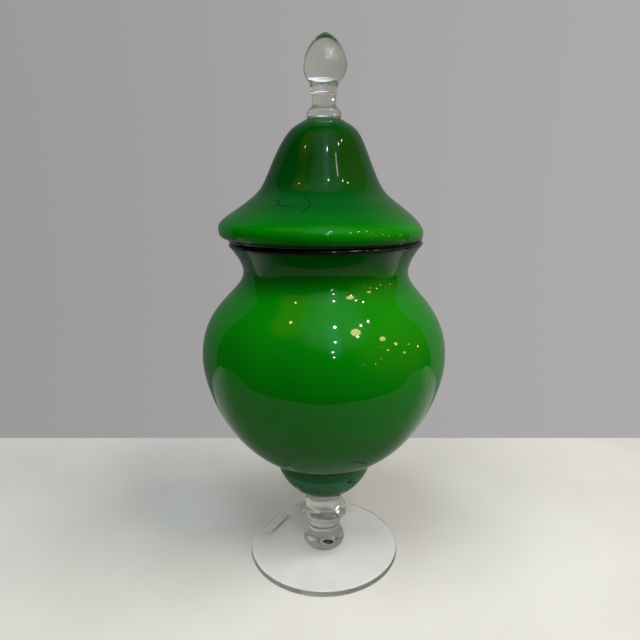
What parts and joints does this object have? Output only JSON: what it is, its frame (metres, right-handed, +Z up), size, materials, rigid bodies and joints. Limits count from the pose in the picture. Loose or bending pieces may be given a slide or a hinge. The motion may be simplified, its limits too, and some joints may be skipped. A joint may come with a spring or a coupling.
{
  "type": "covered glass jar",
  "caption": "Tall covered glass jar: round green bowl lined in white on a clear stem and foot, with a lift-off bell-shaped lid and clear finial.",
  "frame": {"origin": "on the surface that the jar stands on, under the middle of the foot", "axes": "+Z up along the jar's axis, -Y towards the front, +X to the right seen from the front"},
  "size_m": [0.1524, 0.1524, 0.3301],
  "materials": {
    "green_glass": "fire-polished gloss",
    "dark_green_glass": "fire-polished gloss, thick and nearly opaque",
    "white_opal_glass": "opaque white gloss",
    "clear_glass": "clear, faintly grey-green, fire-polished",
    "blank_label": "thin translucent blank sticker"
  },
  "bodies": {
    "jar": {"foot": "clear_glass", "foot_label": "blank_label", "stem_lower_knob": "clear_glass", "stem_upper_knop": "clear_glass", "bowl_cup": "dark_green_glass", "bowl_casing": "green_glass", "bowl_lining": "white_opal_glass", "bowl_lip": "dark_green_glass"},
    "lid": {"lid_casing": "green_glass", "lid_lining": "white_opal_glass", "lid_flange": "dark_green_glass", "finial_collar": "clear_glass", "finial_neck": "clear_glass", "finial_bulb": "clear_glass"}
  },
  "joints": [
    {"name": "lid_lift", "type": "slide", "parent": "jar", "child": "lid", "axis": [0, 0, 1], "range_m": [0, 0.16]}
  ]
}
